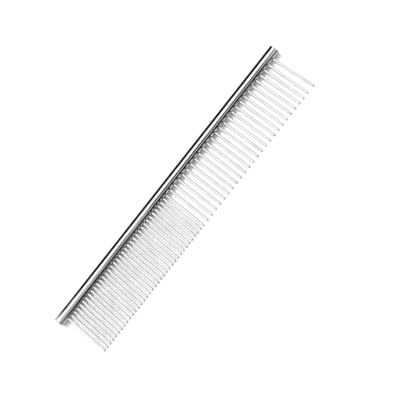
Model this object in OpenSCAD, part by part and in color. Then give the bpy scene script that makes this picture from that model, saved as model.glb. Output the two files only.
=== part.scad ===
// Steel grooming comb: a round spine bar with one row of straight wire teeth, set close
// together in the fine half and wider apart in the coarse half.
// It lies on its side, as it does on a table: the spine and the tips of the teeth both
// touch the plane z = 0. X runs along the spine, with the coarse half at +X, and the teeth
// point to -Y. The origin is on that plane, at the middle of the comb's length and depth.
// All sizes are in millimetres.

/* [Spine] */
// Diameter of the round spine bar
spine_d = 6; // [5:0.1:8]
// Radius of the rounded edge at each end of the bar
end_round = 0.15; // [0.1:0.05:1]
// From the bar's fine end to the centre of the first fine tooth
fine_margin = 5.05; // [3:0.05:10]
// From the centre of the last coarse tooth to the bar's coarse end
coarse_margin = 4.95; // [3:0.05:10]

/* [Teeth] */
// Diameter of the wire that the teeth are cut from
wire_d = 1.35; // [1:0.05:1.6]
// From the spine's axis to the rounded tip of a tooth
reach = 31; // [20:0.5:40]
// Width of the chamfer round the end of the tooth that is pressed into the spine
root_chamfer = 0.15; // [0.05:0.05:0.3]

/* [Fine half] */
// Number of fine teeth, an even number because they are grouped in pairs
fine_count = 36; // [2:2:60]
// Centre distance of neighbouring fine teeth
fine_pitch = 2.45; // [2.2:0.05:3]

/* [Coarse half] */
// Number of coarse teeth
coarse_count = 26; // [3:1:28]
// Centre distance of neighbouring coarse teeth
coarse_pitch = 3.61; // [3:0.01:5]
// Centre distance of the last two coarse teeth, on the spine's axis
last_gap = 4; // [3:0.05:6]
// How far the last coarse tooth leans outwards, in degrees
last_lean = 1.5; // [0:0.1:3]

/* [Sockets] */
// Depth of the blind hole that a tooth is pressed into, from the spine's surface
socket_depth = 4; // [2:0.1:4.2]
// Width of the countersink at the mouth of each hole
countersink = 0.2; // [0.1:0.05:0.3]

/* [Hidden] */
$fn = 64;
spine_r = spine_d / 2;
wire_r = wire_d / 2;

// Along a tooth, measured from the spine's axis: its seat in the blind hole, and the centre
// of its round tip.
seat = spine_r - socket_depth;
tip_centre = reach - wire_r;

// How far the comb turns about its spine until the tips meet the table.
rest_tilt = asin((spine_r - wire_r) / tip_centre);
// Where the spine's axis then lies, with the comb's depth centred on the origin.
spine_y = (tip_centre * cos(rest_tilt) + wire_r - spine_r) / 2;

// Places along X: the bar's two ends, and the centre of each tooth on the spine's axis.
fine_span = (fine_count - 1) * fine_pitch;
coarse_span = (coarse_count - 1) * coarse_pitch + last_gap;
spine_l = fine_margin + fine_span + coarse_span + coarse_margin;
first_fine_x = fine_margin - spine_l / 2;
last_fine_x = first_fine_x + fine_span;
last_coarse_x = spine_l / 2 - coarse_margin;
fine_x = [for (i = [0 : fine_count - 1]) first_fine_x + i * fine_pitch];
coarse_x = [
    for (i = [1 : coarse_count])
        i < coarse_count ? last_fine_x + i * coarse_pitch : last_coarse_x
];

pair_count = fine_count / 2;
cut_clearance = 1;

function numbered(name, i) = str(name, "_", i < 10 ? "0" : "", i);

// From the comb's own frame, with the spine's axis on X and the teeth along -Y, to the
// comb as it lies on the table.
module laid_down() {
    translate([0, spine_y, spine_r]) rotate([rest_tilt, 0, 0]) children();
}

// Stands its children, drawn along +Z from the spine's axis, in place as tooth or hole.
module at_tooth(x, lean = 0) {
    translate([x, 0, 0]) rotate([90, 0, lean]) children();
}

// One straight wire tooth, with its chamfered root at the seat and a round tip.
module tooth() {
    translate([0, 0, seat]) cylinder(h = root_chamfer, r1 = wire_r - root_chamfer, r2 = wire_r);
    translate([0, 0, seat + root_chamfer]) cylinder(h = tip_centre - seat - root_chamfer, r = wire_r);
    translate([0, 0, tip_centre]) sphere(r = wire_r);
}

// The blind hole for one tooth, with its countersunk mouth.
module socket() {
    mouth = spine_r - countersink;
    translate([0, 0, seat]) cylinder(h = socket_depth + cut_clearance, r = wire_r);
    translate([0, 0, mouth])
        cylinder(
            h = countersink + cut_clearance,
            r1 = wire_r,
            r2 = wire_r + countersink + cut_clearance
        );
}

// Half of the bar's outline, with both end edges rounded.
module spine_outline() {
    translate([0, end_round]) square([spine_r, spine_l - 2 * end_round]);
    square([spine_r - end_round, spine_l]);
    for (z = [end_round, spine_l - end_round])
        translate([spine_r - end_round, z]) circle(r = end_round);
}

module spine_bar() {
    color("gainsboro") laid_down()
        difference() {
            translate([-spine_l / 2, 0, 0]) rotate([0, 90, 0]) rotate_extrude() spine_outline();
            for (x = fine_x) at_tooth(x) socket();
            for (i = [0 : coarse_count - 1])
                at_tooth(coarse_x[i], i < coarse_count - 1 ? 0 : last_lean) socket();
        }
}

// Two neighbouring fine teeth, as two separate solids.
module fine_tooth_pair(i) {
    color("whitesmoke") laid_down()
        for (k = [2 * i - 2, 2 * i - 1])
            at_tooth(fine_x[k]) tooth();
}

module coarse_tooth(i) {
    color("whitesmoke") laid_down()
        at_tooth(coarse_x[i - 1], i < coarse_count ? 0 : last_lean) tooth();
}

spine_bar();
for (i = [1 : pair_count])
    fine_tooth_pair(i);
for (i = [1 : coarse_count])
    coarse_tooth(i);
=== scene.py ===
"""The looks of a steel grooming comb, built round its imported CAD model.

The comb lies on a white table. Its spine and its teeth are rebuilt here as finer meshes than the
packed ones, on the places and sizes that the frame gives, with polished metal materials. The light
is a world with no lamps. A key light behind, a wide fill and two side panels light the table. The
metal mirrors a finer room: a white softbox and grey and dark bands, which change along the comb
and give the chrome its stripes.
"""

import math
import random

import bpy
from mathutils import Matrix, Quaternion, Vector


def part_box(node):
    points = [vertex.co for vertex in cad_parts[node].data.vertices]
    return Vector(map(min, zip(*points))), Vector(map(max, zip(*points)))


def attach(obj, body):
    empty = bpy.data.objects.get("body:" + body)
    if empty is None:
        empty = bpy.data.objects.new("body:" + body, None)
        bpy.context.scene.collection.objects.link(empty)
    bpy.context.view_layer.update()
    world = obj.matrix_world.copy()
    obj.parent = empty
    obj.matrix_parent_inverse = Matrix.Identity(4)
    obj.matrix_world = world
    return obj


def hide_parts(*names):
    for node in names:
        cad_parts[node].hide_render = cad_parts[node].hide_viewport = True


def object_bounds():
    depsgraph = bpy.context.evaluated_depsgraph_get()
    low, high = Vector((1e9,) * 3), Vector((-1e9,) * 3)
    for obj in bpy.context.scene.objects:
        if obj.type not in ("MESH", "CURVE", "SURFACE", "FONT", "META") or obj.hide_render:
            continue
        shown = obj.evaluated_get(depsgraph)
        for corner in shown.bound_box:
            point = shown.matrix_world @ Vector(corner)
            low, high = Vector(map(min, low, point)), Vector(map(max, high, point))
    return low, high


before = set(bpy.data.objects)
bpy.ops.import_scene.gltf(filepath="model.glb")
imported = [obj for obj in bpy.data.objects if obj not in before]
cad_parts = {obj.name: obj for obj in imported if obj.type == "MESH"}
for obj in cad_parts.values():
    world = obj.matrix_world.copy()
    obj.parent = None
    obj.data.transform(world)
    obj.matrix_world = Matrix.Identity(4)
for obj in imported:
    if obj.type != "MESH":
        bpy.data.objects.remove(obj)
cad_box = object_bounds()

MM = 0.001

# ---------------------------------------------------------------------------------------------
# The comb's own measures, from the frame
# ---------------------------------------------------------------------------------------------

spine_low, spine_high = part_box("spine_bar")
SPINE_R = (spine_high.y - spine_low.y) / 2
SPINE_AXIS = Vector((0, (spine_high.y + spine_low.y) / 2, (spine_high.z + spine_low.z) / 2))
SPINE_HALF = (spine_high.x - spine_low.x) / 2

plain_low, plain_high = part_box("coarse_tooth_01")
WIRE_R = (plain_high.x - plain_low.x) / 2

# A tooth falls from the spine's axis to the table, where its round tip rests.
TIP_DROP = SPINE_R - WIRE_R
TIP_RUN = SPINE_AXIS.y - (plain_low.y + WIRE_R)
TIP_CENTRE = math.hypot(TIP_DROP, TIP_RUN)
TOOTH_WAY = Vector((0, -TIP_RUN, -TIP_DROP)) / TIP_CENTRE
ALONG = Vector((1, 0, 0))
ACROSS = ALONG.cross(TOOTH_WAY)

# The blind holes and the pressed-in roots, as in the CAD model.
SEAT = -1.0 * MM
ROOT_CHAMFER = 0.15 * MM
COUNTERSINK = 0.2 * MM
END_ROUND = 0.15 * MM

TOOTH_NODES = sorted(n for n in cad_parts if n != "spine_bar")


def teeth_of(node):
    """(x on the spine's axis, lean) of each tooth in a CAD node. A pair has one at each side."""
    low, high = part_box(node)
    if "pair" in node:
        return [(low.x + WIRE_R, 0.0), (high.x - WIRE_R, 0.0)]
    lean = math.asin(max(0.0, high.x - low.x - 2 * WIRE_R) / (TIP_CENTRE - SEAT))
    return [(high.x - WIRE_R - TIP_CENTRE * math.sin(lean), lean)]


SOCKETS = sorted(t for node in TOOTH_NODES for t in teeth_of(node))


# ---------------------------------------------------------------------------------------------
# Mesh helpers
# ---------------------------------------------------------------------------------------------


class Shell:
    """Vertices and faces of one piece, with the true surface normal at every face corner."""

    def __init__(self):
        self.points = []
        self.faces = []
        self.normals = []

    def point(self, where):
        self.points.append(where)
        return len(self.points) - 1

    def face(self, corners, normals):
        self.faces.append(corners)
        self.normals.append(normals)

    def skin(self, ring_a, ring_b, normals_a, normals_b, closed=True):
        """Quads from ring_a to ring_b, facing the way the corner order gives."""
        count = len(ring_a)
        for i in range(count if closed else count - 1):
            j = (i + 1) % count
            self.face(
                (ring_a[i], ring_a[j], ring_b[j], ring_b[i]),
                (normals_a[i], normals_a[j], normals_b[j], normals_b[i]),
            )

    def fan(self, ring, centre, normal):
        """Closes a ring with triangles to a centre point."""
        count = len(ring)
        for i in range(count):
            self.face((ring[i], ring[(i + 1) % count], centre), (normal,) * 3)

    def build(self, name):
        mesh = bpy.data.meshes.new(name)
        mesh.from_pydata([tuple(p) for p in self.points], [], self.faces)
        mesh.polygons.foreach_set("use_smooth", [True] * len(mesh.polygons))
        mesh.normals_split_custom_set([tuple(n) for corners in self.normals for n in corners])
        mesh.update()
        piece = bpy.data.objects.new(name, mesh)
        bpy.context.scene.collection.objects.link(piece)
        return piece


# ---------------------------------------------------------------------------------------------
# Spine bar
# ---------------------------------------------------------------------------------------------

CELL_STEPS = 8
CELL_CORNERS = 4 * CELL_STEPS
# Half of the toothed band's width, as an angle round the bar.
BAND_ANGLE = math.asin(1.1 * MM / SPINE_R)
BACK_STEPS = 56
MARGIN_STEP = 0.4 * MM
ROUND_STEPS = 6
BAND_ANGLES = [BAND_ANGLE * (2 * i / CELL_STEPS - 1) for i in range(CELL_STEPS + 1)]
BACK_ANGLES = [
    BAND_ANGLE + (2 * math.pi - 2 * BAND_ANGLE) * i / BACK_STEPS for i in range(BACK_STEPS + 1)
]
# How far each ring of a socket's cell has come from the cell's edge to the rim of the hole.
RIM_SHARES = (0.45, 0.8, 1.0)
# The rings across a flat end face, as shares of its radius.
FACE_SHARES = (0.66, 0.33)
# Once round the bar, from one edge of the toothed band to the other and on over the back.
RING_ANGLES = BAND_ANGLES[:-1] + BACK_ANGLES[:-1]
# Once round a hole or a wire. It starts on the diagonal, towards a corner of the socket's cell.
TURN = [2 * math.pi * (i / CELL_CORNERS - 3 / 8) for i in range(CELL_CORNERS)]


def outward(angle):
    """The spine's surface normal at an angle round it, counted from the way the teeth point."""
    return TOOTH_WAY * math.cos(angle) + ACROSS * math.sin(angle)


def on_spine(x, angle, radius=None):
    return SPINE_AXIS + ALONG * x + outward(angle) * (SPINE_R if radius is None else radius)


def cell_edges():
    """X of the edges of each socket's cell, halfway between neighbouring sockets."""
    xs = [x for x, _ in SOCKETS]
    middles = [(a + b) / 2 for a, b in zip(xs, xs[1:])]
    first = xs[0] - (middles[0] - xs[0])
    last = xs[-1] + (xs[-1] - middles[-1])
    return [first] + middles + [last]


def leaning(lean):
    """The way a leaning tooth points, and the way square to it in the plane of the teeth."""
    way = (TOOTH_WAY * math.cos(lean) + ALONG * math.sin(lean)).normalized()
    return way, ALONG * math.cos(lean) - TOOTH_WAY * math.sin(lean)


def steps_between(a, b, count):
    return [a + (b - a) * i / count for i in range(count + 1)]


def add_socket(shell, grid, first_column, x, lean):
    """Fills one cell of the toothed band with a countersunk blind hole."""
    last_column = first_column + CELL_STEPS
    walk = (
        [(first_column + i, 0) for i in range(CELL_STEPS)]
        + [(last_column, j) for j in range(CELL_STEPS)]
        + [(last_column - i, CELL_STEPS) for i in range(CELL_STEPS)]
        + [(first_column, CELL_STEPS - j) for j in range(CELL_STEPS)]
    )
    outer = [grid["points"][c][r] for c, r in walk]
    outer_flat = [(grid["xs"][c], SPINE_R * math.sin(BAND_ANGLES[r])) for c, r in walk]
    outer_normals = [outward(BAND_ANGLES[r]) for _, r in walk]
    way, side = leaning(lean)
    mouth_x = x + SPINE_R * math.sin(lean)

    def rim(angle):
        """How far from the hole's axis its 45 degree countersink meets the round bar."""
        s2 = math.sin(angle) ** 2
        k = SPINE_R - COUNTERSINK - WIRE_R
        return (-k + math.sqrt(k * k - (1 + s2) * (k * k - SPINE_R**2))) / (1 + s2)

    rim_flat = [(mouth_x + rim(a) * math.cos(a), rim(a) * math.sin(a)) for a in TURN]
    ring, normals = outer, outer_normals
    for share in RIM_SHARES:
        flat = [
            (p[0] + (q[0] - p[0]) * share, p[1] + (q[1] - p[1]) * share)
            for p, q in zip(outer_flat, rim_flat)
        ]
        angles = [math.asin(v / SPINE_R) for _, v in flat]
        inner = [shell.point(on_spine(f[0], a)) for f, a in zip(flat, angles)]
        inner_normals = [outward(a) for a in angles]
        shell.skin(inner, ring, inner_normals, normals)
        ring, normals = inner, inner_normals

    def hole_ring(radius, depth):
        centre = SPINE_AXIS + ALONG * x + way * depth
        return [
            shell.point(centre + (side * math.cos(a) + ACROSS * math.sin(a)) * radius) for a in TURN
        ]

    inward = [-(ALONG * math.cos(a) + ACROSS * math.sin(a)) for a in TURN]
    cone = [(n + way).normalized() for n in inward]
    throat = hole_ring(WIRE_R, SPINE_R - COUNTERSINK)
    shell.skin(throat, ring, cone, cone)
    floor_ring = hole_ring(WIRE_R, SEAT)
    shell.skin(floor_ring, throat, inward, inward)
    shell.fan(floor_ring[::-1], shell.point(SPINE_AXIS + ALONG * x + way * SEAT), way)


def add_end(shell, ring, side):
    """The rounded edge and the flat face at one end of the bar. side is -1 or +1."""
    normals = [outward(a) for a in RING_ANGLES]

    def join(a, b, normals_a, normals_b):
        if side > 0:
            shell.skin(a, b, normals_a, normals_b)
        else:
            shell.skin(b, a, normals_b, normals_a)

    for step in range(1, ROUND_STEPS + 1):
        bend = math.pi / 2 * step / ROUND_STEPS
        radius = SPINE_R - END_ROUND * (1 - math.cos(bend))
        x = side * (SPINE_HALF - END_ROUND * (1 - math.sin(bend)))
        next_ring = [shell.point(on_spine(x, a, radius)) for a in RING_ANGLES]
        next_normals = [
            outward(a) * math.cos(bend) + ALONG * side * math.sin(bend) for a in RING_ANGLES
        ]
        join(ring, next_ring, normals, next_normals)
        ring, normals = next_ring, next_normals
    flat = [ALONG * side] * len(RING_ANGLES)
    for share in FACE_SHARES:
        radius = (SPINE_R - END_ROUND) * share
        next_ring = [shell.point(on_spine(side * SPINE_HALF, a, radius)) for a in RING_ANGLES]
        join(ring, next_ring, flat, flat)
        ring = next_ring
    centre = shell.point(SPINE_AXIS + ALONG * side * SPINE_HALF)
    shell.fan(ring if side > 0 else ring[::-1], centre, ALONG * side)


def make_spine():
    shell = Shell()
    edges = cell_edges()
    inner_end = SPINE_HALF - END_ROUND
    left_count = round((edges[0] + inner_end) / MARGIN_STEP)
    right_count = round((inner_end - edges[-1]) / MARGIN_STEP)
    xs = steps_between(-inner_end, edges[0], left_count)
    for a, b in zip(edges, edges[1:]):
        xs += steps_between(a, b, CELL_STEPS)[1:]
    xs += steps_between(edges[-1], inner_end, right_count)[1:]

    in_cells = range(left_count, left_count + CELL_STEPS * len(SOCKETS))
    cell_starts = set(in_cells[::CELL_STEPS]) | {in_cells[-1] + 1}
    rings = []
    for column, x in enumerate(xs):
        open_band = column in in_cells and column not in cell_starts
        ring = []
        for row, angle in enumerate(RING_ANGLES):
            hidden = open_band and 0 < row < CELL_STEPS
            ring.append(None if hidden else shell.point(on_spine(x, angle)))
        rings.append(ring)
    normals = [outward(a) for a in RING_ANGLES]
    count = len(RING_ANGLES)
    for column in range(len(xs) - 1):
        a, b = rings[column], rings[column + 1]
        for i in range(count):
            if column in in_cells and i < CELL_STEPS:
                continue
            j = (i + 1) % count
            shell.face((a[i], a[j], b[j], b[i]), (normals[i], normals[j], normals[j], normals[i]))
    grid = {"xs": xs, "points": [r[: CELL_STEPS + 1] for r in rings]}
    for k, (x, lean) in enumerate(SOCKETS):
        add_socket(shell, grid, left_count + k * CELL_STEPS, x, lean)
    add_end(shell, rings[0], -1)
    add_end(shell, rings[-1], 1)
    return shell.build("spine_bar_polished")


# ---------------------------------------------------------------------------------------------
# Teeth
# ---------------------------------------------------------------------------------------------

SHAFT_STEPS = 8
TIP_STEPS = 8
# A real tooth's tip strays sideways from its true place, seldom by more than this.
TIP_STRAY = 0.1 * MM
STRAY_SEED = 26


def add_tooth(shell, x, lean, stray):
    """One wire tooth: chamfered root in its hole, a shaft that strays a little, and a round tip."""
    way, side = leaning(lean)
    radials = [side * math.cos(a) + ACROSS * math.sin(a) for a in TURN]

    def centre(depth):
        out = max(0.0, depth - SPINE_R) / (TIP_CENTRE - SPINE_R)
        return SPINE_AXIS + ALONG * (x + stray * out**1.5) + way * depth

    def ring(depth, radius):
        return [shell.point(centre(depth) + r * radius) for r in radials]

    root = ring(SEAT, WIRE_R - ROOT_CHAMFER)
    shell.fan(root, shell.point(centre(SEAT)), -way)
    last = ring(SEAT + ROOT_CHAMFER, WIRE_R)
    bevel = [(r - way).normalized() for r in radials]
    shell.skin(last, root, bevel, bevel)
    for depth in steps_between(SPINE_R - COUNTERSINK, TIP_CENTRE, SHAFT_STEPS):
        following = ring(depth, WIRE_R)
        shell.skin(following, last, radials, radials)
        last = following
    normals = radials
    for step in range(1, TIP_STEPS):
        bend = math.pi / 2 * step / TIP_STEPS
        middle = centre(TIP_CENTRE) + way * WIRE_R * math.sin(bend)
        following = [shell.point(middle + r * WIRE_R * math.cos(bend)) for r in radials]
        bent = [r * math.cos(bend) + way * math.sin(bend) for r in radials]
        shell.skin(following, last, bent, normals)
        last, normals = following, bent
    tip = shell.point(centre(TIP_CENTRE) + way * WIRE_R)
    for i in range(len(last)):
        j = (i + 1) % len(last)
        shell.face((last[j], last[i], tip), (normals[j], normals[i], way))


def make_teeth():
    """One piece for each CAD node of teeth."""
    chance = random.Random(STRAY_SEED)
    made = []
    for node in TOOTH_NODES:
        shell = Shell()
        for x, lean in teeth_of(node):
            add_tooth(shell, x, lean, chance.gauss(0, 0.5) * TIP_STRAY)
        piece = shell.build(node.replace("tooth", "wire"))
        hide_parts(node)
        made.append(piece)
    return made


# ---------------------------------------------------------------------------------------------
# Node helper
# ---------------------------------------------------------------------------------------------


class NodeDesk:
    """Adds nodes to one node tree and joins them up."""

    def __init__(self, tree):
        self.tree = tree
        self.nodes = tree.nodes
        self.links = tree.links

    def add(self, kind, inputs=None, **settings):
        """A node with its settings. An input is a number, a colour or another node's output."""
        node = self.nodes.new(kind)
        for key, value in settings.items():
            setattr(node, key, value)
        for key, value in (inputs or {}).items():
            if isinstance(value, bpy.types.NodeSocket):
                self.links.new(value, node.inputs[key])
            else:
                node.inputs[key].default_value = value
        return node

    def math(self, operation, a, b=0.0, c=0.0):
        return self.add("ShaderNodeMath", {0: a, 1: b, 2: c}, operation=operation).outputs[0]

    def span(self, value, low, high, to_low=0.0, to_high=1.0, smooth=False):
        """value carried from low..high to to_low..to_high, and held at the ends."""
        kind = "SMOOTHSTEP" if smooth else "LINEAR"
        inputs = {0: value, 1: low, 2: high, 3: to_low, 4: to_high}
        return self.add("ShaderNodeMapRange", inputs, interpolation_type=kind).outputs[0]

    def mix(self, share, a, b):
        """a where share is 0 and b where it is 1, as numbers."""
        return self.add("ShaderNodeMix", {0: share, 2: a, 3: b}, data_type="FLOAT").outputs[0]

    def tint(self, share, a, b):
        """a where share is 0 and b where it is 1, as colours."""
        ends = [c if isinstance(c, bpy.types.NodeSocket) else (*c, 1) for c in (a, b)]
        inputs = {0: share, 6: ends[0], 7: ends[1]}
        return self.add("ShaderNodeMix", inputs, data_type="RGBA").outputs[2]

    def total(self, base, *terms):
        """base plus each (value, amount) multiplied out."""
        for value, amount in terms:
            base = self.math("MULTIPLY_ADD", value, amount, base)
        return base

    def vector(self, operation, a, b):
        node = self.add("ShaderNodeVectorMath", {0: a, 1: b}, operation=operation)
        return node.outputs["Value" if operation == "DOT_PRODUCT" else "Vector"]


# ---------------------------------------------------------------------------------------------
# Materials
# ---------------------------------------------------------------------------------------------


# The colours of bare metal, of metal with a film of grease, and a near black that paints the shade in
# the holes and at the tooth roots.
CHROME = (0.8, 0.803, 0.806)
STEEL = (0.88, 0.883, 0.886)
SMEARED = (0.77, 0.77, 0.765)
CREVICE_SHADE = (0.05, 0.05, 0.052)
MICRON = 0.001 * MM


def start_metal(name):
    material = bpy.data.materials.new(name)
    material.use_nodes = True
    desk = NodeDesk(material.node_tree)
    shader = desk.nodes["Principled BSDF"]
    shader.inputs["Metallic"].default_value = 1
    return material, desk, shader


def place_on_comb(desk):
    """How far along the spine, out along the teeth and across them, in mm from the spine's middle."""
    place = desk.add("ShaderNodeTexCoord").outputs["Object"]
    from_axis = desk.vector("SUBTRACT", place, SPINE_AXIS)
    return [
        desk.math("DIVIDE", desk.vector("DOT_PRODUCT", from_axis, way), MM)
        for way in (ALONG, TOOTH_WAY, ACROSS)
    ]


def grain(desk, place, per_mm, detail=2.0):
    """Noise about 0.5, with its own number of grains per mm along, out and across."""
    scaled = [desk.math("MULTIPLY", way, rate) for way, rate in zip(place, per_mm)]
    where = desk.add("ShaderNodeCombineXYZ", dict(enumerate(scaled))).outputs[0]
    inputs = {"Vector": where, "Scale": 1.0, "Detail": detail}
    return desk.add("ShaderNodeTexNoise", inputs).outputs[0]


def finish_metal(desk, shader, colour, roughness, relief):
    """colour and roughness as they are, and relief in microns as a bump."""
    desk.links.new(colour, shader.inputs["Base Color"])
    desk.links.new(roughness, shader.inputs["Roughness"])
    bump = desk.add("ShaderNodeBump", {"Height": relief, "Distance": MICRON})
    desk.links.new(bump.outputs[0], shader.inputs["Normal"])


# No hole is nearer than this to an end of the bar, in mm.
SOCKETS_START = 3.0
# From one turned ring to the next on an end face, and how far from the end the turning reaches.
RING_PITCH, TURNED_DEPTH = 0.24, 0.03
# From an end, where the rubbing of the edge fades out, and where it is full.
RUBBED_TO, RUBBED_FULL = 0.7, 0.1
# On a tooth, in mm: from the bar's surface, where the painted shade at the root gives way to bare
# steel, and from the centre of the tip, where the softer tip begins and where it is full.
ROOT_DARK = 0.5
TIP_SOFT_FROM, TIP_SOFT_FULL = -1.2, 0.3


def length_of(desk, a, b):
    """The length of a flat vector from its two parts."""
    return desk.math("SQRT", desk.math("ADD", desk.math("POWER", a, 2.0), desk.math("POWER", b, 2.0)))


def make_spine_chrome():
    """Bright plating: polishing lines along the bar, finger marks, fine scratches and turned ends."""
    material, desk, shader = start_metal("spine_chrome")
    place = place_on_comb(desk)
    along, out, across = place
    radius = length_of(desk, out, across)
    end_distance = desk.math("SUBTRACT", SPINE_HALF / MM, desk.math("ABSOLUTE", along))

    lines = desk.span(grain(desk, place, (0.03, 7, 7), 3), 0.3, 0.7)
    smudges = desk.span(grain(desk, place, (0.12, 0.35, 0.35)), 0.5, 0.68)
    scratches = desk.span(grain(desk, place, (0.3, 17, 17), 1), 0.66, 0.74)
    swell = grain(desk, place, (0.07, 0.1, 0.1), 0)
    face = desk.span(end_distance, TURNED_DEPTH, 0.0)
    near_end = desk.span(end_distance, RUBBED_TO, RUBBED_FULL)
    rubbed_edge = desk.math("MULTIPLY", near_end, grain(desk, place, (3, 3, 3)))
    # Painted shade: the holes are dark inside, and the countersinks go from dark at the foot to the
    # metal's own colour at the rim.
    mouth = desk.span(radius, (SPINE_R - COUNTERSINK) / MM, SPINE_R / MM - 0.01)
    past_holes = desk.span(end_distance, SOCKETS_START, SOCKETS_START - 0.5)
    clean = desk.math("MAXIMUM", mouth, past_holes)
    rings = desk.math("SINE", desk.math("MULTIPLY", radius, 2 * math.pi / RING_PITCH))
    tool_marks = grain(desk, place, (1, 2, 2))

    polished = desk.total(0.01, (lines, 0.045), (smudges, 0.06), (scratches, 0.12), (rubbed_edge, 0.2))
    turned = desk.total(0.26, (lines, 0.08))
    polished_relief = desk.total(0.0, (swell, 12.0), (lines, 0.8), (scratches, -0.6))
    turned_relief = desk.total(0.0, (tool_marks, 4.0), (rings, 2.4))
    # The base colour carries the painted shade in the holes as well as the grease film.
    finish_metal(
        desk,
        shader,
        desk.tint(clean, CREVICE_SHADE, desk.tint(smudges, CHROME, SMEARED)),
        desk.mix(face, polished, turned),
        desk.mix(face, polished_relief, turned_relief),
    )
    return material


def make_tooth_steel():
    """Drawn and polished wire: lines along it, a roughness that differs from tooth to tooth, and
    painted shade at the roots.
    """
    material, desk, shader = start_metal("tooth_steel")
    place = place_on_comb(desk)
    out = place[1]
    lines = desk.span(grain(desk, place, (9, 0.12, 9), 2), 0.3, 0.7)
    one_from_next = desk.span(grain(desk, place, (0.45, 0.01, 0.0), 0), 0.3, 0.7)
    handling = desk.span(grain(desk, place, (0.15, 0.1, 0.5)), 0.5, 0.7)
    tip = desk.span(out, TIP_CENTRE / MM + TIP_SOFT_FROM, TIP_CENTRE / MM + TIP_SOFT_FULL)
    # Painted shade at each root: near black where the wire enters its hole, fading to the steel's own
    # colour.
    root = desk.span(out, SPINE_R / MM, SPINE_R / MM + ROOT_DARK)

    finish_metal(
        desk,
        shader,
        desk.tint(root, CREVICE_SHADE, desk.tint(handling, STEEL, SMEARED)),
        desk.total(0.045, (lines, 0.05), (one_from_next, 0.04), (handling, 0.04), (tip, 0.05)),
        desk.total(handling, (lines, 1.2)),
    )
    return material


# ---------------------------------------------------------------------------------------------
# Table, light and camera
# ---------------------------------------------------------------------------------------------


FLOOR_HALF = 6.0
# The floor lies this far under the comb, so that nothing of the comb is in it.
FLOOR_DROP = 0.01 * MM
FLOOR_WHITE = 0.9
# How far the mat reaches past the comb: beyond its fine and coarse ends, behind its spine and in
# front of its tips.
MAT_FINE, MAT_COARSE, MAT_BACK, MAT_FRONT = 12 * MM, 2 * MM, 18 * MM, 4 * MM
# The brightness of the mat as the metal mirrors it.
MAT_MIRRORED = 0.5


def rectangle(low, high):
    return [(low[0], low[1]), (high[0], low[1]), (high[0], high[1]), (low[0], high[1])]


def flat_sheet(name, corners, faces, material):
    mesh = bpy.data.meshes.new(name)
    mesh.from_pydata([(x, y, -FLOOR_DROP) for x, y in corners], [], faces)
    mesh.materials.append(material)
    sheet = bpy.data.objects.new(name, mesh)
    bpy.context.scene.collection.objects.link(sheet)
    return sheet


def matte_white(name, level, mirrored_level):
    """A matte white that metal mirrors at another brightness than it has itself."""
    material = bpy.data.materials.new(name)
    material.use_nodes = True
    desk = NodeDesk(material.node_tree)
    shader = desk.nodes["Principled BSDF"]
    shader.inputs["Roughness"].default_value = 1
    shader.inputs["Specular IOR Level"].default_value = 0
    shade = desk.mix(seen_in_metal(desk), level, mirrored_level)
    desk.links.new(shade, shader.inputs["Base Color"])
    return material


def make_floor():
    """A white mat just larger than the comb, and round it a wide floor that metal doesn't mirror."""
    white = matte_white("floor_white", FLOOR_WHITE, MAT_MIRRORED)
    low, high = cad_box
    mat = rectangle(
        (low[0] - MAT_FINE, low[1] - MAT_FRONT),
        (high[0] + MAT_COARSE, high[1] + MAT_BACK),
    )
    flat_sheet("mat", mat, [(0, 1, 2, 3)], white)
    rim = rectangle((-FLOOR_HALF, -FLOOR_HALF), (FLOOR_HALF, FLOOR_HALF))
    sides = [(4 + i, 4 + (i + 1) % 4, (i + 1) % 4, i) for i in range(4)]
    floor = flat_sheet("floor", mat + rim, sides, white)
    floor.visible_glossy = False


# The room by direction. Each band starts at an angle over the comb, in degrees from the back
# horizon (0) over the zenith (90) to the front horizon (180), and has one brightness. Sides are
# angles from the zenith to -X and to +X, in degrees.
# First, what the eye sees past the floor.
BACKDROP = 1.15
# What lights the table: a narrow key light, a wide fill, and two low side panels.
KEY_BANDS = [(0, 0.0), (58, 26.5), (67, 6.3), (81, 0.0)]
KEY_SIDES = (-12, 12)
FILL_BANDS = [(0, 0.18), (40, 0.35), (81, 1.22), (110, 0.24)]
FILL_SIDES = (-80, 75)
PANEL_LIGHT = 3.0
PANEL_OVER, PANEL_SIDES = (50, 130), (52, 80)
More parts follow.
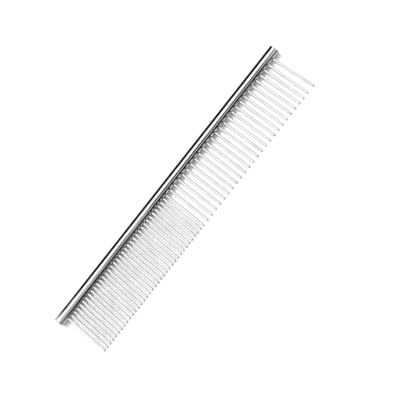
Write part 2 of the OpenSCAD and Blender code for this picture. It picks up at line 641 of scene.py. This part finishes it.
# What the metal mirrors instead, at several places along the comb: a direction's slant, which is its
# part along +X over its part across the comb, and the bands at that slant. They are chosen for the
# stripes that they give the chrome, and aren't a room that anyone measured.
DARK = 0.01
SOFTBOX = 1.22
MIRROR_BANDS = [
    (-0.191, [(0, SOFTBOX), (106, 0.5), (128, 0.45), (150, 0.3), (178, 0.5)]),
    (-0.18, [(0, DARK), (46, SOFTBOX), (106, 0.5), (128, 0.52), (150, 0.1)]),
    (-0.16, [(0, DARK), (54, SOFTBOX), (105, 0.46), (128, 0.56), (150, DARK)]),
    (-0.118, [(0, DARK), (56, SOFTBOX), (106, 0.48), (128, 0.53), (150, DARK), (174, 0.2)]),
    (-0.104, [(0, DARK), (56, SOFTBOX), (105.5, 0.08), (129, 0.52), (150, DARK), (174, 0.2)]),
    (-0.078, [(0, DARK), (56, SOFTBOX), (104.5, 0.08), (129, 0.58), (149, DARK), (174, 0.2)]),
    (-0.066, [(0, DARK), (56, SOFTBOX), (106, 0.35), (129, 0.6), (149, DARK), (174, 0.2)]),
    (-0.055, [(0, DARK), (56, SOFTBOX), (107.5, 0.55), (129, 0.58), (149, DARK), (174, 0.2)]),
    (-0.041, [(0, DARK), (56, SOFTBOX), (104.5, DARK), (133, 0.66), (149, DARK)]),
    (0.044, [(0, DARK), (57, SOFTBOX), (104, DARK), (134, 0.72), (149, DARK)]),
    (0.053, [(0, DARK), (57, SOFTBOX), (106.5, DARK), (132, 0.64), (149, DARK)]),
    (0.13, [(0, DARK), (57, SOFTBOX), (107, DARK), (131, 0.55), (148, DARK)]),
    (0.143, [(0, DARK), (57, SOFTBOX), (107.5, 0.12), (131, 0.42), (152, DARK)]),
    (0.157, [(0, DARK), (57, SOFTBOX), (106, 0.3), (128, 0.6), (138, 0.95), (162, DARK)]),
]
BAND_BLUR = 1.5
SIDE_BLUR = 6
# How far these bands reach to each side: to -X at the fine and at the coarse end, and to +X in the
# middle and at the coarse end.
BANDS_LEFT = (-86, -50)
BANDS_RIGHT = (70, 40)
# How far they reach to each side as the flanks of the teeth mirror them, past the second slant.
FLANK_LIMITS = (-66, 50)
FLANK_SLANTS = (0.2, 0.35)
# Past those limits the room is dark. Farther out still are grey walls, but for a dark gap between
# two angles over the comb, and the grey of the far floor, from a little below the horizon.
WALL_LEVEL, FAR_FLOOR_LEVEL = 0.3, 0.4
WALL_SLANTS = (0.3, 0.5)
WALL_GAP = (58, 96)
FAR_FLOOR_DIP = (-0.12, -0.2)


def seen_in_metal(desk):
    """1 for what the metal mirrors to the eye, and 0 for the light that falls on the table."""
    path = desk.add("ShaderNodeLightPath").outputs
    straight = desk.math("LESS_THAN", path["Diffuse Depth"], 0.5)
    return desk.math("MULTIPLY", path["Is Glossy Ray"], straight)


def band_ramp(desk, over, bands):
    """The brightness at the angle over the comb, from bands that blur a little into each other."""
    ramp = desk.add("ShaderNodeValToRGB", {0: desk.math("DIVIDE", over, 180.0)})
    stops = [(0.0, bands[0][1])]
    for (_, before), (degrees, after) in zip(bands, bands[1:]):
        stops.append(((degrees - BAND_BLUR / 2) / 180, before))
        stops.append(((degrees + BAND_BLUR / 2) / 180, after))
    elements = ramp.color_ramp.elements
    for index, (at, level) in enumerate(stops):
        stop = elements[index] if index < 2 else elements.new(at)
        stop.position = at
        stop.color = (level, level, level, 1)
    return desk.add("ShaderNodeSeparateColor", {0: ramp.outputs["Color"]}).outputs[0]


def between(desk, degrees, low, high):
    """1 between two angles and 0 outside them, with soft edges."""
    edges = [desk.math("SUBTRACT", degrees, low), desk.math("SUBTRACT", high, degrees)]
    rise, fall = [desk.span(e, -SIDE_BLUR / 2, SIDE_BLUR / 2, smooth=True) for e in edges]
    return desk.math("MULTIPLY", rise, fall)


def table_light(desk, over, side):
    """The brightness of the room as the table sees it: key light, fill and side panels."""
    key = desk.math("MULTIPLY", band_ramp(desk, over, KEY_BANDS), between(desk, side, *KEY_SIDES))
    fill = desk.math("MULTIPLY", band_ramp(desk, over, FILL_BANDS), between(desk, side, *FILL_SIDES))
    out_to_side = between(desk, desk.math("ABSOLUTE", side), *PANEL_SIDES)
    panels = desk.math("MULTIPLY", between(desk, over, *PANEL_OVER), out_to_side)
    return desk.math("ADD", key, desk.math("MULTIPLY_ADD", panels, PANEL_LIGHT, fill))


def mirrored_room(desk, over, side, slant, z):
    """The brightness of the room as the metal mirrors it to the eye."""
    bands = band_ramp(desk, over, MIRROR_BANDS[0][1])
    for (start, _), (stop, following) in zip(MIRROR_BANDS, MIRROR_BANDS[1:]):
        bands = desk.mix(desk.span(slant, start, stop), bands, band_ramp(desk, over, following))
    fine_end, coarse_end = MIRROR_BANDS[0][0], MIRROR_BANDS[-1][0]
    steepness = desk.math("ABSOLUTE", slant)
    flank = desk.span(steepness, *FLANK_SLANTS)
    left = desk.mix(flank, desk.span(slant, fine_end, coarse_end, *BANDS_LEFT), FLANK_LIMITS[0])
    right = desk.mix(flank, desk.span(slant, 0.0, coarse_end, *BANDS_RIGHT), FLANK_LIMITS[1])
    far_out = desk.span(steepness, *WALL_SLANTS)
    wall = desk.mix(between(desk, over, *WALL_GAP), WALL_LEVEL, DARK)
    below = desk.math("MULTIPLY", far_out, desk.span(z, *FAR_FLOOR_DIP))
    beyond = desk.mix(below, desk.math("MULTIPLY", far_out, wall), FAR_FLOOR_LEVEL)
    return desk.mix(between(desk, side, left, right), desk.math("MAXIMUM", beyond, DARK), bands)


def make_room():
    """One world for the whole room. The table, the metal and the eye each see it differently."""
    world = bpy.data.worlds.new("studio")
    bpy.context.scene.world = world
    world.use_nodes = True
    desk = NodeDesk(world.node_tree)
    desk.nodes.clear()
    way = desk.add("ShaderNodeTexCoord").outputs["Generated"]
    x, y, z = desk.add("ShaderNodeSeparateXYZ", {0: way}).outputs
    over = desk.math("DEGREES", desk.math("ARCTAN2", z, y))
    side = desk.math("DEGREES", desk.math("ARCTAN2", x, z))
    slant = desk.math("DIVIDE", x, length_of(desk, y, z))
    lit = table_light(desk, over, side)
    mirrored = mirrored_room(desk, over, side, slant, z)
    level = desk.mix(seen_in_metal(desk), lit, mirrored)
    to_camera = desk.add("ShaderNodeLightPath").outputs["Is Camera Ray"]
    background = desk.add("ShaderNodeBackground", {"Color": desk.mix(to_camera, level, BACKDROP)})
    output = desk.add("ShaderNodeOutputWorld")
    desk.links.new(background.outputs[0], output.inputs[0])


def make_camera():
    """From above the tips, rolled so that the comb's coarse end points up and to the right."""
    azimuth, elevation, roll = [math.radians(v) for v in (0.69, 66.64, -52.41)]
    distance = 537.7 * MM
    aim = Vector((5.19 * MM, -6.77 * MM, SPINE_AXIS.z))
    back = Vector((
        math.sin(azimuth) * math.cos(elevation),
        -math.cos(azimuth) * math.cos(elevation),
        math.sin(elevation),
    ))
    data = bpy.data.cameras.new("camera")
    data.lens = 90
    data.sensor_width = 36
    data.clip_start = 0.01
    camera = bpy.data.objects.new("camera", data)
    bpy.context.scene.collection.objects.link(camera)
    camera.location = aim + back * distance
    camera.rotation_mode = "QUATERNION"
    level = (-back).to_track_quat("-Z", "Y")
    camera.rotation_quaternion = level @ Quaternion((0, 0, 1), roll)
    bpy.context.scene.camera = camera


spine = make_spine()
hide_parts("spine_bar")
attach(spine, "root")
spine.data.materials.append(make_spine_chrome())

tooth_steel = make_tooth_steel()
for piece in make_teeth():
    piece.data.materials.append(tooth_steel)
    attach(piece, "root")

make_floor()
make_room()
make_camera()
bpy.context.scene.view_settings.view_transform = "Standard"
